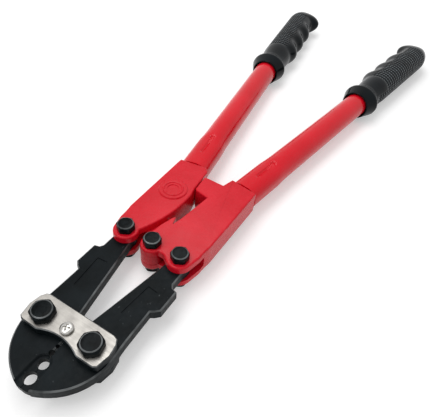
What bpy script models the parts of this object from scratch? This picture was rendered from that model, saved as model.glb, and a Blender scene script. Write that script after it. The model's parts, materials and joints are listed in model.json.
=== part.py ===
"""Hand crimper built like a pair of bolt cutters: compound-lever handles, two forged jaws, two link plates.

The working frame ("tool frame") lies in the middle of the tool's thickness.  +X runs from the jaws to the
grips, +Y is the left-hand side and +Z is up.  All sizes are in millimetres and become metres when a mesh
is made.  At the end everything hangs from one empty that stands the tool on z = 0, centred on its length.
"""

import math

import bmesh
import bpy
from mathutils import Matrix, Vector

MM = 0.001

# ---- driving dimensions, millimetres ------------------------------------------------------------------
GAP = 0.3                     # clearance between touching pieces
JAW_ARM = 80.0                # link bolt to tail bolt, along X
LINK_HALF = 18.6              # half the distance between the two link bolts
TAIL_HALF = 22.9              # half the distance between the two tail bolts
NOSE_REACH = 36.0             # link bolt line to the tip of the nose

JAW_THICK = 8.4
JAW_SHOULDER = 12.6           # jaw metal outside the link bolt
ARM_SIDE = 6.4                # jaw metal outside the tail bolt line, along the arm
ARM_NECK = 4.6                # inner edge of the arm where it leaves the plates
TAIL_RADIUS = 7.4             # round end of the jaw's tail
LUG_RISE = 5.2                # height of the lug on the outside of the arm
LUG_FRONT = 40.0              # lug start, ahead of the tail bolt
LUG_BACK = 19.5               # lug end, ahead of the tail bolt
RIM_CHAMFER = 0.9

DIE_HALF_WIDTH = 5.4          # the dies lie in a shallow channel along the parting line
DIE_THICK = 4.0
NEST_STATIONS = ((-29.4, 3.8), (-19.9, 3.3), (-13.0, 1.9), (-8.4, 1.3))    # place along X, radius

RECESS_LENGTH = 25.0          # shallow panel sunk in each arm
RECESS_WIDTH = 7.6
RECESS_DEPTH = 0.5

PLATE_THICK = 6.0
PLATE_BACK = 12.2
PLATE_FRONT = 9.2
PLATE_WAIST = 5.4             # the front edge is hollowed between the bolts
PLATE_END = 12.0              # plate metal outside the link bolt
PLATE_CHAMFER = 0.6

SPACER_RADIUS = 4.0
SPACER_ROOM = 1.4             # room between the spacer and the jaws, where they swing towards it
SCREW_RADIUS = 2.5
SCREW_HEAD_RADIUS = 4.1
SCREW_HEAD_HEIGHT = 2.4
SCREW_NUT_FLATS = 8.0
SCREW_NUT_HEIGHT = 4.0

LINK_SHANK = 5.0              # radius
LINK_FLATS = 14.0
LINK_HEAD_HEIGHT = 5.0
LINK_NUT_HEIGHT = 5.5
LINK_CROWN = 5.6              # radius of the flat circle on top of the head
LINK_TURN = 12.0              # degrees that the hexagons are turned by

TAIL_SHANK = 4.0
TAIL_FLATS = 12.0
TAIL_HEAD_HEIGHT = 5.3
TAIL_NUT_HEIGHT = 5.2
TAIL_CROWN = 5.0
TAIL_TURN = 0.0

HEX_CHAMFER_SLOPE = 0.7
HEX_CORNER_TURNED = 0.35      # what the chamfering cut takes off a hexagon's corners all the way down
NUT_CROWN = 0.47              # radius of a nut's flat face, as a share of its width across flats

EAR_THICK = 5.5               # fork ears above and below the jaw's tail
LOBE_RADIUS = 9.2             # ears round the tail bolts
PIVOT_LOBE = 8.3              # ears and tongue round the centre bolt
PIVOT_PLAY = 2.3              # the tongue's hole is this much larger: the linkage is opened here
SLOT_DEPTH = 13.5             # the tail's slot runs this far behind the tail bolt
HEAD_SIDE = 12.4              # head metal outside the tail bolt line
HEAD_LENGTH = 88.5            # tail bolts to the seam with the tube
BOSS_RADIUS = 11.3
BOSS_HEIGHT = 0.8
HEAD_BULGE = 0.25             # a forging's sides stand proud at its parting line
STOP_FRONT = 6.8              # the left head's face that the stop lug meets, at the lug's front
STOP_SLOPE = 0.095

TUBE_RADIUS = 11.75
SLEEVE_LENGTH = 42.0          # the tube's pressed end, flattened to lie flush with the head
SLEEVE_HALF_WIDTH = 12.1
SLEEVE_HALF_HEIGHT = 10.3
SLEEVE_BLEND = 16.0           # length over which the sleeve turns round again
SLEEVE_SQUARENESS = 0.22
TUBE_WALL = 2.0
TUBE_OFFSET = 1.3             # tube axis outside the tail bolt, at the seam
TUBE_SPLAY = 8.7              # degrees between the tube and the tool's own axis
TUBE_LENGTH = 344.0           # seam to the end inside the grip
SPIGOT_LENGTH = 26.0
SPIGOT_RADIUS = 8.5
STAKE_START = 17.0            # the staked groove on top of the sleeve, and the dimple that ends it
STAKE_LENGTH = 26.0
STAKE_RADIUS = 1.8
STAKE_DEPTH = 0.9
DIMPLE_RADIUS = 2.4

GRIP_START = 196.0            # seam to the mouth of the grip
GRIP_LENGTH = 182.0
GRIP_WALL = 3.1
GRIP_SIDE = 0.8               # extra half-width of the grip, across the tool
GRIP_MOUTH = 14.0             # outer radius of the lip at the mouth
LIP_WALL = 0.8
LIP_DEPTH = 5.0               # the lip stands clear of the tube this deep
COLLAR_HALF_WIDTH = 19.0      # the collar widens from the lip to its rim, then steps down to the neck
COLLAR_HALF_HEIGHT = 16.6
COLLAR_RIM = 14.0             # mouth to the collar's widest place
COLLAR_LAND = 4.0
COLLAR_LENGTH = 24.0
NECK_LENGTH = 24.0            # plain length behind the collar
NECK_RADIUS = 14.3
SCALLOP_PITCH = 31.0
SCALLOP_COUNT = 3
SCALLOP_RISE = 4.6
HOOK_LENGTH = 28.0            # the guard hook rises this far ahead of the grip's end
HOOK_RISE = 7.5
HOOK_ROUND = 13.0             # the grip's end is rounded over this length on the hook's side
END_ROUND = 30.0              # and over this length elsewhere

# ---- sizes that follow --------------------------------------------------------------------------------
JAW_TOP = JAW_THICK / 2
PLATE_IN = JAW_TOP + GAP
PLATE_OUT = PLATE_IN + PLATE_THICK
SLOT_HALF = JAW_TOP + GAP
HEAD_TOP = SLOT_HALF + EAR_THICK
LINK_NUT_BOTTOM = PLATE_OUT + GAP + LINK_NUT_HEIGHT
REST_DEPTH = max(COLLAR_HALF_HEIGHT, LINK_NUT_BOTTOM, HEAD_TOP + GAP + TAIL_NUT_HEIGHT)

SPLAY = math.radians(TUBE_SPLAY)
TUBE_DIRECTION = Vector((math.cos(SPLAY), math.sin(SPLAY)))
TUBE_SIDE = Vector((-math.sin(SPLAY), math.cos(SPLAY)))
SEAM = Vector((JAW_ARM + HEAD_LENGTH, TAIL_HALF + TUBE_OFFSET))
SEAM_OUTER = SEAM + TUBE_SIDE * TUBE_RADIUS
SEAM_INNER = SEAM - TUBE_SIDE * TUBE_RADIUS

GRIP_BORE = TUBE_RADIUS + GAP
GRIP_RADIUS = GRIP_BORE + GRIP_WALL

LINKS = {1: Vector((0.0, LINK_HALF)), -1: Vector((0.0, -LINK_HALF))}
TAILS = {1: Vector((JAW_ARM, TAIL_HALF)), -1: Vector((JAW_ARM, -TAIL_HALF))}
PIVOT = Vector((JAW_ARM, 0.0))
SIDE_NAMES = {1: "left", -1: "right"}

# ---- colours ------------------------------------------------------------------------------------------
BLACK_STEEL = ((0.028, 0.032, 0.034), 0.42, 0.9)
BRIGHT_STEEL = ((0.62, 0.61, 0.58), 0.3, 1.0)
RED_PAINT = ((0.62, 0.035, 0.04), 0.35, 0.0)
BLACK_PLASTIC = ((0.03, 0.033, 0.035), 0.6, 0.0)
ZINC = ((0.66, 0.65, 0.62), 0.28, 1.0)


def clear_scene():
    for obj in list(bpy.data.objects):
        bpy.data.objects.remove(obj, do_unlink=True)


def material(name, look):
    colour, roughness, metallic = look
    mat = bpy.data.materials.new(name)
    mat.use_nodes = True
    shader = mat.node_tree.nodes["Principled BSDF"]
    shader.inputs["Base Color"].default_value = (*colour, 1.0)
    shader.inputs["Roughness"].default_value = roughness
    shader.inputs["Metallic"].default_value = metallic
    mat.diffuse_color = (*colour, 1.0)
    return mat


# ---- outlines -----------------------------------------------------------------------------------------
def arc(centre, radius, start, end, steps):
    """Points on a circle from one angle to another, in degrees, both ends included."""
    points = []
    for i in range(steps + 1):
        angle = math.radians(start + (end - start) * i / steps)
        points.append((centre[0] + radius * math.cos(angle), centre[1] + radius * math.sin(angle)))
    return points


def bow(start, end, rise, steps):
    """A shallow arc from start to end that rises to the left of the straight line between them."""
    a, b = Vector(start), Vector(end)
    chord = b - a
    left = Vector((-chord.y, chord.x)).normalized()
    points = []
    for i in range(steps + 1):
        t = i / steps
        points.append(tuple(a + chord * t + left * (rise * 4 * t * (1 - t))))
    return points


def mirrored(outline, side):
    """The outline for the side asked for; outlines are written for the left-hand side."""
    return [(x, y * side) for x, y in outline]


def offset(outline, distance):
    """The outline moved outwards by distance, corner by corner; it runs anticlockwise."""
    count = len(outline)
    moved = []
    for i in range(count):
        before, here, after = (Vector(outline[(i + k) % count]) for k in (-1, 0, 1))
        first = (here - before).normalized()
        second = (after - here).normalized()
        normal = Vector((first.y + second.y, -first.x - second.x))
        stretch = max(normal.length_squared / 2, 0.7)
        moved.append(tuple(here + normal * (distance / stretch)))
    return moved


def area(outline):
    total = 0.0
    for (x0, y0), (x1, y1) in zip(outline, outline[1:] + outline[:1]):
        total += x0 * y1 - x1 * y0
    return total / 2


# ---- solids -------------------------------------------------------------------------------------------
def new_object(name, bm, mat=None, smooth_angle=30.0):
    bmesh.ops.recalc_face_normals(bm, faces=bm.faces)
    bmesh.ops.scale(bm, vec=(MM, MM, MM), verts=bm.verts)
    mesh = bpy.data.meshes.new(name)
    bm.to_mesh(mesh)
    bm.free()
    mesh.shade_smooth()
    mesh.set_sharp_from_angle(angle=math.radians(smooth_angle))
    obj = bpy.data.objects.new(name, mesh)
    bpy.context.scene.collection.objects.link(obj)
    if mat is not None:
        mesh.materials.append(mat)
    return obj


def raise_face(bm, face, height):
    """Extrude a face straight up by height and return the face at the new end."""
    inside = any(len(edge.link_faces) > 1 for edge in face.edges)
    result = bmesh.ops.extrude_face_region(bm, geom=[face])
    if inside:
        bmesh.ops.delete(bm, geom=[face], context="FACES_ONLY")
    verts = [item for item in result["geom"] if isinstance(item, bmesh.types.BMVert)]
    bmesh.ops.translate(bm, vec=(0.0, 0.0, height), verts=verts)
    return next(item for item in result["geom"] if isinstance(item, bmesh.types.BMFace))


def stack(name, outline, layers, mat=None):
    """A solid extruded from one outline: each layer is (outward offset, height)."""
    if area(outline) < 0:
        outline = outline[::-1]
    bm = bmesh.new()
    (distance, level), *above = layers
    face = bm.faces.new([bm.verts.new((x, y, level)) for x, y in offset(outline, distance)])
    for distance, height in above:
        face = raise_face(bm, face, height - level)
        for vert, (x, y) in zip(face.verts, offset(outline, distance)):
            vert.co.xy = (x, y)
        level = height
    return new_object(name, bm, mat)


def prism(name, outline, bottom, top, mat=None):
    return stack(name, outline, ((0.0, bottom), (0.0, top)), mat)


def rounded_layers(half_height, radius, steps=3, bulge=0.0):
    """Layers of a plate whose top and bottom edges are rounded and whose waist stands proud by bulge."""
    upper = []
    for i in range(steps + 1):
        angle = math.pi / 2 * i / steps
        upper.append((radius * (math.cos(angle) - 1), half_height - radius * (1 - math.sin(angle))))
    lower = [(distance, -height) for distance, height in reversed(upper)]
    middle = [(bulge, 0.0)] if bulge else []
    return lower + middle + upper


def turned(name, profile, segments, mat=None, centre=(0.0, 0.0)):
    """A solid of revolution about Z: the profile is (radius, height) from the bottom to the top."""
    bm = bmesh.new()
    half_step = math.pi / segments
    line = [(0.0, profile[0][1]), *profile, (0.0, profile[-1][1])]
    line = [point for i, point in enumerate(line) if i == 0 or point != line[i - 1]]
    verts = [bm.verts.new((r * math.cos(half_step), r * math.sin(half_step), z)) for r, z in line]
    edges = [bm.edges.new(pair) for pair in zip(verts, verts[1:])]
    bmesh.ops.spin(bm, geom=verts + edges, cent=(0.0, 0.0, 0.0), axis=(0.0, 0.0, 1.0),
                   angle=2 * math.pi, steps=segments, use_merge=True)
    bmesh.ops.remove_doubles(bm, verts=bm.verts, dist=1e-4)
    flat_ends = [vert for vert in bm.verts if vert.co.xy.length < 1e-3
                 and all(abs(face.normal.z) > 0.999 for face in vert.link_faces)]
    bmesh.ops.dissolve_verts(bm, verts=flat_ends)
    bmesh.ops.translate(bm, vec=(centre[0], centre[1], 0.0), verts=bm.verts)
    return new_object(name, bm, mat)


def lofted(name, stations, segments, section, mat=None):
    """A bar along Z whose cross-section changes: section(angle, height) gives each rim point's x and y."""
    bm = bmesh.new()
    bmesh.ops.create_circle(bm, cap_ends=True, radius=1.0, segments=segments)
    bmesh.ops.translate(bm, vec=(0.0, 0.0, stations[0]), verts=bm.verts)
    bm.faces.ensure_lookup_table()
    face = bm.faces[0]
    for low, high in zip(stations, stations[1:]):
        face = raise_face(bm, face, high - low)
    for vert in bm.verts:
        vert.co.xy = section(math.atan2(vert.co.y, vert.co.x), vert.co.z)
    return new_object(name, bm, mat, 40.0)


def cylinder(name, centre, radius, bottom, top, segments=28, mat=None):
    return turned(name, ((radius, bottom), (radius, top)), segments, mat, centre)


def combine(target, tool, operation="DIFFERENCE"):
    """Cut, join or trim target with tool, which stays in the file as a hidden guide."""
    modifier = target.modifiers.new(tool.name, "BOOLEAN")
    modifier.operation = operation
    modifier.solver = "EXACT"
    modifier.object = tool
    tool.hide_render = True
    tool.display_type = "WIRE"
    tool.parent = target
    return target


def hexagon(centre, flats, turn):
    return arc(centre, flats / math.sqrt(3), turn, turn + 300, 5)


def chamfered_hex(name, centre, flats, turn, bottom, top, crown, mat, both_ends=False):
    """A hexagonal head: its corners are turned away at the top, and at the bottom too for a nut."""
    corner = flats / math.sqrt(3)
    drop = min((corner - crown) * HEX_CHAMFER_SLOPE, (top - bottom) / 2 - 0.2)
    rim = corner - HEX_CORNER_TURNED
    head = prism(name, hexagon(centre, flats, turn), bottom, top, mat)
    low = [(crown, bottom), (rim, bottom + drop)] if both_ends else [(rim, bottom - 1.0)]
    profile = low + [(rim, top - drop), (crown, top)]
    return combine(head, turned(name + "_chamfer", profile, 32, None, centre), "INTERSECT")


def bolt(name, centre, flats, turn, crown, shank, head_bottom, head_top, end, mat):
    head = chamfered_hex(name, centre, flats, turn, head_bottom, head_top, crown, mat)
    rod = turned(name + "_shank", ((shank - 0.5, end), (shank, end + 0.5), (shank, head_bottom + 1.0)),
                 28, None, centre)
    return combine(head, rod, "UNION")


def nut(name, centre, flats, turn, hole, bottom, top, mat):
    body = chamfered_hex(name, centre, flats, turn, bottom, top, flats * NUT_CROWN, mat, both_ends=True)
    return combine(body, cylinder(name + "_bore", centre, hole, bottom - 1, top + 1))


# ---- jaws ---------------------------------------------------------------------------------------------
def jaw_outline():
    tail = TAILS[1]
    arm_outer = TAIL_HALF + ARM_SIDE
    lug_front = JAW_ARM - LUG_FRONT
    lug_back = JAW_ARM - LUG_BACK
    shoulder = (-3.0, LINK_HALF + JAW_SHOULDER)
    relief = SPACER_RADIUS + GAP + SPACER_ROOM / 2
    relief_centre = (SPACER_ROOM / 2, 0.0)
    relief_end = 180 - math.degrees(math.asin(GAP / 2 / relief))
    rim = bow((1.4 - NOSE_REACH, 7.0), shoulder, 5.4, 14)
    lug_top = arm_outer + LUG_RISE
    lug = [(lug_front - 1.4, arm_outer), (lug_front, arm_outer + 2.2), (lug_front + 3.0, lug_top),
           (lug_back - 0.6, lug_top), (lug_back + 0.4, arm_outer + 1.6), (lug_back + 2.8, arm_outer)]
    end = arc(tail, TAIL_RADIUS, 100, -108, 14)
    return (
        [(-NOSE_REACH, GAP / 2), (-NOSE_REACH, 2.4), (-NOSE_REACH + 0.5, 4.8)]
        + rim
        + [(14.0, arm_outer + 0.6)]
        + lug
        + [(JAW_ARM - 7.0, arm_outer)]
        + end
        + [(14.0, ARM_NECK)]
        + arc(relief_centre, relief, 34, relief_end, 10)
    )


def die_channel(name, side):
    """The stadium-shaped channel that leaves the dies thinner than the jaw, above or below them."""
    back = NEST_STATIONS[1][0]
    outline = [(-NOSE_REACH - 5.0, -DIE_HALF_WIDTH)] + arc((back, 0.0), DIE_HALF_WIDTH, -90, 90, 10)
    outline += [(-NOSE_REACH - 5.0, DIE_HALF_WIDTH)]
    inner, outer = DIE_THICK / 2, JAW_TOP + 2.0
    return prism(name, outline, *((inner, outer) if side > 0 else (-outer, -inner)))


def arm_recess(name, side):
    """The shallow panel sunk into the top of an arm, in line with the arm's own slope."""
    centre = Vector((JAW_ARM * 0.505, TAIL_HALF - 3.0))
    lean = math.radians(5.0)
    along = Vector((math.cos(lean), math.sin(lean))) * (RECESS_LENGTH / 2)
    across = Vector((-math.sin(lean), math.cos(lean))) * (RECESS_WIDTH / 2)
    signs = ((-1, -1), (1, -1), (1, 1), (-1, 1))
    outline = mirrored([tuple(centre + along * ahead + across * out) for ahead, out in signs], side)
    return prism(name, outline, JAW_TOP - RECESS_DEPTH, JAW_TOP + 2.0)


def jaw(side, mat):
    name = "jaw_" + SIDE_NAMES[side]
    layers = ((-RIM_CHAMFER, -JAW_TOP), (0.0, RIM_CHAMFER - JAW_TOP), (0.0, JAW_TOP - RIM_CHAMFER),
              (-RIM_CHAMFER, JAW_TOP))
    body = stack(name, mirrored(jaw_outline(), side), layers, mat)
    combine(body, cylinder(name + "_link_bore", LINKS[side], LINK_SHANK + GAP, -JAW_THICK, JAW_THICK))
    combine(body, cylinder(name + "_tail_bore", TAILS[side], TAIL_SHANK + GAP, -JAW_THICK, JAW_THICK))
    combine(body, die_channel(name + "_channel_top", 1))
    combine(body, die_channel(name + "_channel_bottom", -1))
    for number, (place, radius) in enumerate(NEST_STATIONS, 1):
        nest = cylinder(f"{name}_nest_{number}", (place, 0.0), radius, -JAW_THICK, JAW_THICK, 24)
        combine(body, nest)
    combine(body, arm_recess(name + "_recess", side))
    return body


# ---- link plates and what holds them ------------------------------------------------------------------
def plate_outline():
    end = LINK_HALF + PLATE_END
    corner = end - 3.2
    right = [(PLATE_BACK, -corner + 3.0), (PLATE_BACK - 1.0, -corner), (PLATE_BACK - 4.2, -end + 1.2),
             (1.0, -end), (-PLATE_FRONT + 1.6, -end + 1.6), (-PLATE_FRONT + 0.2, -corner + 0.4),
             (-PLATE_FRONT, -corner + 3.0)]
    left = [(x, -y) for x, y in reversed(right)]
    hollow = bow((-PLATE_FRONT, -LINK_HALF + 3.6), (-PLATE_FRONT, LINK_HALF - 3.6),
                 -(PLATE_FRONT - PLATE_WAIST), 12)
    return right + hollow + left


def link_plate(name, bottom, mat):
    layers = ((-PLATE_CHAMFER, bottom), (0.0, bottom + PLATE_CHAMFER),
              (0.0, bottom + PLATE_THICK - PLATE_CHAMFER), (-PLATE_CHAMFER, bottom + PLATE_THICK))
    plate = stack(name, plate_outline(), layers, mat)
    low, high = bottom - 1.0, bottom + PLATE_THICK + 1.0
    for side, centre in LINKS.items():
        hole = cylinder(f"{name}_{SIDE_NAMES[side]}_hole", centre, LINK_SHANK + GAP, low, high)
        combine(plate, hole)
    return combine(plate, cylinder(name + "_screw_hole", (0.0, 0.0), SCREW_RADIUS + GAP, low, high, 20))


def spacer(mat):
    body = cylinder("spacer_sleeve", (0.0, 0.0), SPACER_RADIUS, -JAW_TOP, JAW_TOP, 24, mat)
    return combine(body, cylinder("spacer_bore", (0.0, 0.0), SCREW_RADIUS + GAP, -JAW_THICK, JAW_THICK, 20))


def centre_screw(mat):
    seat = PLATE_OUT + GAP
    crown = seat + SCREW_HEAD_HEIGHT
    end = -(PLATE_OUT + GAP + SCREW_NUT_HEIGHT)
    profile = [(SCREW_RADIUS - 0.4, end), (SCREW_RADIUS, end + 0.4), (SCREW_RADIUS, seat),
               (SCREW_HEAD_RADIUS, seat), (SCREW_HEAD_RADIUS, seat + 0.7 * SCREW_HEAD_HEIGHT)]
    profile += [(SCREW_HEAD_RADIUS * 0.88, seat + 0.9 * SCREW_HEAD_HEIGHT), (SCREW_HEAD_RADIUS * 0.6, crown)]
    screw = turned("centre_screw", profile, 24, mat)
    for number, lean in enumerate((20.0, 110.0), 1):
        blade = arc((0.0, 0.0), SCREW_HEAD_RADIUS * 0.58, lean - 11, lean + 11, 1)
        blade += arc((0.0, 0.0), SCREW_HEAD_RADIUS * 0.58, lean + 169, lean + 191, 1)
        combine(screw, prism(f"centre_screw_slot_{number}", blade, crown - 1.2, crown + 1.0))
    return screw


# ---- handle heads -------------------------------------------------------------------------------------
def head_outer_edge():
    """The outer side of a head from the tail lobe to the seam, the same on both heads."""
    side = TAIL_HALF + HEAD_SIDE
    lobe = arc(TAILS[1], LOBE_RADIUS, 180, 98, 8)
    seam_shoulder = SEAM_OUTER - TUBE_DIRECTION * 4.6 + TUBE_SIDE * 0.6
    return (lobe + bow((JAW_ARM + 8.0, side - 1.4), (JAW_ARM + 20.0, side - 0.3), -0.3, 3)
            + [(JAW_ARM + 50.0, side + 0.1), tuple(seam_shoulder), tuple(SEAM_OUTER - TUBE_SIDE * 0.2)])


def stop_face(back, gap=0.0):
    """A point on the face where the two heads meet, a distance behind the tail bolts."""
    return (JAW_ARM + back, STOP_FRONT + STOP_SLOPE * (back - 64.0) - gap)


def left_inner_edge():
    """The left head's side that faces the other handle, from the seam back to its tail lobe."""
    lobe = arc(TAILS[1], LOBE_RADIUS, 300, 180, 10)
    hollow = bow((JAW_ARM + 56.0, 4.9), (JAW_ARM + 9.0, 12.9), 3.0, 10)
    heel = [tuple(SEAM_INNER + TUBE_SIDE * 0.2), stop_face(86.0), stop_face(64.0)]
    return heel + hollow + lobe[:-1]


def head_layers():
    return rounded_layers(HEAD_TOP, 1.3, 3, bulge=HEAD_BULGE)


def tongue_outline():
    """The left head's tongue: a round eye on the centre bolt and a web that runs back into the head."""
    eye = arc(PIVOT, PIVOT_LOBE, 112, 298, 16)
    return eye + [(JAW_ARM + 30.0, 6.6), (JAW_ARM + 44.0, 9.0), (JAW_ARM + 44.0, 20.0), (JAW_ARM + 15.5, 20.0),
                  (JAW_ARM + 11.0, 12.4)]


def spigot(name, side):
    """The turned end of a head that the tube is driven over."""
    profile = ((SPIGOT_RADIUS, -12.0), (SPIGOT_RADIUS, SPIGOT_LENGTH - 1.5),
               (SPIGOT_RADIUS - 1.5, SPIGOT_LENGTH))
    rod = turned(name, profile, 28)
    place_on_tube(rod, side, 0.0)
    return rod


def place_on_tube(obj, side, distance):
    """Turn a mesh made about Z onto the tube's axis, starting at a distance from the seam."""
    along = Vector((TUBE_DIRECTION.x, TUBE_DIRECTION.y * side, 0.0))
    across = Vector((-along.y, along.x, 0.0))
    start = Vector((SEAM.x, SEAM.y * side, 0.0)) + along * distance
    turn = Matrix((across, (0.0, 0.0, 1.0), along)).transposed().to_4x4()
    obj.data.transform(Matrix.Translation(start * MM) @ turn)


def left_head(mat):
    outline = head_outer_edge() + left_inner_edge()
    head = stack("handle_head_left", outline, head_layers(), mat)
    slot = [(JAW_ARM - 20.0, -10.0), (JAW_ARM + SLOT_DEPTH, -10.0), (JAW_ARM + SLOT_DEPTH, TAIL_HALF + 30.0),
            (JAW_ARM - 20.0, TAIL_HALF + 30.0)]
    combine(head, prism("handle_head_left_slot", slot, -SLOT_HALF, SLOT_HALF))
    combine(head, prism("handle_head_left_tongue", tongue_outline(), -JAW_TOP, JAW_TOP), "UNION")
    hole = TAIL_SHANK + GAP
    combine(head, cylinder("handle_head_left_tail_hole", TAILS[1], hole, -HEAD_TOP - 1, HEAD_TOP + 1))
    combine(head, cylinder("handle_head_left_eye", PIVOT, hole + PIVOT_PLAY, -HEAD_TOP, HEAD_TOP, 32))
    boss_centre = (JAW_ARM + 52.5, TAIL_HALF - 3.4)
    boss = turned("handle_head_left_boss",
                  ((BOSS_RADIUS, HEAD_TOP - 2.0), (BOSS_RADIUS, HEAD_TOP + BOSS_HEIGHT - 0.4),
                   (BOSS_RADIUS - 0.7, HEAD_TOP + BOSS_HEIGHT)), 36, None, boss_centre)
    combine(head, boss, "UNION")
    ring = turned("handle_head_left_boss_centre",
                  ((BOSS_RADIUS * 0.41, HEAD_TOP + BOSS_HEIGHT - 0.5), (BOSS_RADIUS * 0.41, HEAD_TOP + 3.0)),
                  28, None, boss_centre)
    combine(head, ring)
    combine(head, spigot("handle_head_left_spigot", 1), "UNION")
    return head


def right_head(mat):
    """The right head carries the fork, the stop lug and the wedge-shaped window between them."""
    outer = mirrored(head_outer_edge(), -1)
    heel = mirrored([tuple(SEAM_INNER + TUBE_SIDE * 0.2)], -1)
    heel += [(JAW_ARM + 89.6, -12.2), (JAW_ARM + 80.0, -9.6)]
    meeting = GAP + 2 * HEAD_BULGE
    stop_lug = [(JAW_ARM + 80.0, 3.4), stop_face(79.6, meeting), stop_face(64.0, meeting), (JAW_ARM + 62.6, 4.9)]
    window = [(JAW_ARM + 60.4, -6.6), (JAW_ARM + 46.8, -4.8), (JAW_ARM + 30.0, -2.7),
              (JAW_ARM + 22.6, -1.3), (JAW_ARM + 30.0, 1.0), (JAW_ARM + 27.5, 2.8), (JAW_ARM + 17.0, 5.6)]
    fork = arc(PIVOT, PIVOT_LOBE, 62, 246, 16) + [(JAW_ARM - 3.6, -12.2)]
    lobe = mirrored(arc(TAILS[1], LOBE_RADIUS, 218, 180, 4), -1)
    outline = heel + stop_lug + window + fork + lobe + outer[1:]
    head = stack("handle_head_right", outline, head_layers(), mat)
    wall = JAW_ARM + SLOT_DEPTH
    slot = [(JAW_ARM - 20.0, -TAIL_HALF - 30.0), (wall, -TAIL_HALF - 30.0), (wall, -5.4), (JAW_ARM + 32.0, 4.8),
            (JAW_ARM + 45.0, 12.0), (JAW_ARM + 45.0, 30.0), (JAW_ARM - 20.0, 30.0)]
    combine(head, prism("handle_head_right_slot", slot, -SLOT_HALF, SLOT_HALF))
    hole = TAIL_SHANK + GAP
    combine(head, cylinder("handle_head_right_tail_hole", TAILS[-1], hole, -HEAD_TOP - 1, HEAD_TOP + 1))
    combine(head, cylinder("handle_head_right_pivot_hole", PIVOT, hole, -HEAD_TOP - 1, HEAD_TOP + 1))
    combine(head, spigot("handle_head_right_spigot", -1), "UNION")
    return head


# ---- tubes and grips ----------------------------------------------------------------------------------
def smooth_step(t):
    t = min(max(t, 0.0), 1.0)
    return t * t * (3 - 2 * t)


def tube_section(angle, distance):
    """The tube's rim: a flattened oval in the pressed sleeve, then a plain circle."""
    press = 1 - smooth_step((distance - SLEEVE_LENGTH + SLEEVE_BLEND / 2) / SLEEVE_BLEND)
    wide = TUBE_RADIUS + (SLEEVE_HALF_WIDTH - TUBE_RADIUS) * press
    high = TUBE_RADIUS + (SLEEVE_HALF_HEIGHT - TUBE_RADIUS) * press
    power = 1 - SLEEVE_SQUARENESS * press
    across, up = math.cos(angle), math.sin(angle)
    return (math.copysign(abs(across) ** power, across) * wide, math.copysign(abs(up) ** power, up) * high)


def handle_tube(side, mat):
    """A steel tube, open at both ends, pressed and staked where it is pushed over the head's spigot."""
    name = "handle_tube_" + SIDE_NAMES[side]
    blend = [SLEEVE_LENGTH + SLEEVE_BLEND * (k / 4 - 0.5) for k in range(5)]
    stations = [GAP, *blend, TUBE_LENGTH]
    tube = lofted(name, stations, 32, tube_section, mat)
    narrow, wide = SPIGOT_RADIUS + GAP, TUBE_RADIUS - TUBE_WALL
    bore = turned(name + "_bore", ((narrow, -5.0), (narrow, SPIGOT_LENGTH + 4.0), (wide, SPIGOT_LENGTH + 8.0),
                                   (wide, TUBE_LENGTH + 5.0)), 28)
    for obj in (tube, bore):
        place_on_tube(obj, side, 0.0)
    combine(tube, bore)
    dimple = STAKE_LENGTH - 2 * DIMPLE_RADIUS
    profile = ((0.0, 0.0), (STAKE_RADIUS, STAKE_RADIUS), (STAKE_RADIUS, dimple), (DIMPLE_RADIUS, dimple + 0.6),
               (DIMPLE_RADIUS, STAKE_LENGTH - 1.4), (0.0, STAKE_LENGTH))
    stake = turned(name + "_stake", profile, 12)
    stake.data.transform(Matrix.Translation((0.0, (SLEEVE_HALF_HEIGHT + STAKE_RADIUS - STAKE_DEPTH) * MM, 0.0)))
    place_on_tube(stake, side, STAKE_START)
    return combine(tube, stake)


def rounded_end(distance, length):
    """How much of its width the grip still has at a distance, where its end is rounded over a length."""
    t = max(distance - GRIP_LENGTH + length, 0.0) / length
    return math.sqrt(1 - 0.9 * t * t)


def collar_flare(distance):
    """The collar's share of a section: none at the lip, all of it at the rim, none again at the neck."""
    if distance < COLLAR_RIM:
        return (distance / COLLAR_RIM) ** 0.8
    return 1 - smooth_step((distance - COLLAR_RIM - COLLAR_LAND) / (COLLAR_LENGTH - COLLAR_RIM - COLLAR_LAND))


def grip_section(distance):
    """Half-width outwards, half-width inwards and half-height of the grip at a distance from its mouth."""
    body = smooth_step((distance - COLLAR_LENGTH) / NECK_LENGTH)
    core = GRIP_MOUTH if distance < COLLAR_RIM else NECK_RADIUS + (GRIP_RADIUS - NECK_RADIUS) * body
    flare = collar_flare(distance)
    high = core + (COLLAR_HALF_HEIGHT - core) * flare
    outwards = core + GRIP_SIDE * body
    outwards += (COLLAR_HALF_WIDTH - outwards) * flare
    inwards = outwards
    phase = (distance - COLLAR_LENGTH - NECK_LENGTH) / SCALLOP_PITCH
    if 0.0 < phase < SCALLOP_COUNT:
        inwards += SCALLOP_RISE * math.sin(math.pi * phase) ** 2
    inwards += HOOK_RISE * smooth_step((distance - GRIP_LENGTH + HOOK_LENGTH) / HOOK_LENGTH * 2)
    close = rounded_end(distance, END_ROUND)
    return outwards * close, inwards * rounded_end(distance, HOOK_ROUND), high * close


def grip_stations():
    neck = COLLAR_RIM + COLLAR_LAND
    stations = [0.0, 3.0, 8.0, COLLAR_RIM, neck, (neck + COLLAR_LENGTH) / 2, COLLAR_LENGTH,
                COLLAR_LENGTH + NECK_LENGTH / 2]
    first = COLLAR_LENGTH + NECK_LENGTH
    stations += [first + SCALLOP_PITCH * k / 6 for k in range(6 * SCALLOP_COUNT + 1)]
    hook = GRIP_LENGTH - HOOK_LENGTH
    stations = [station for station in stations if station < hook - 1.0]
    stations += [hook + 3.5 * k for k in range(5)]
    last = GRIP_LENGTH - HOOK_ROUND
    return stations + [last + HOOK_ROUND * math.sin(math.pi / 2 * k / 6) for k in range(7)]


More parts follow.
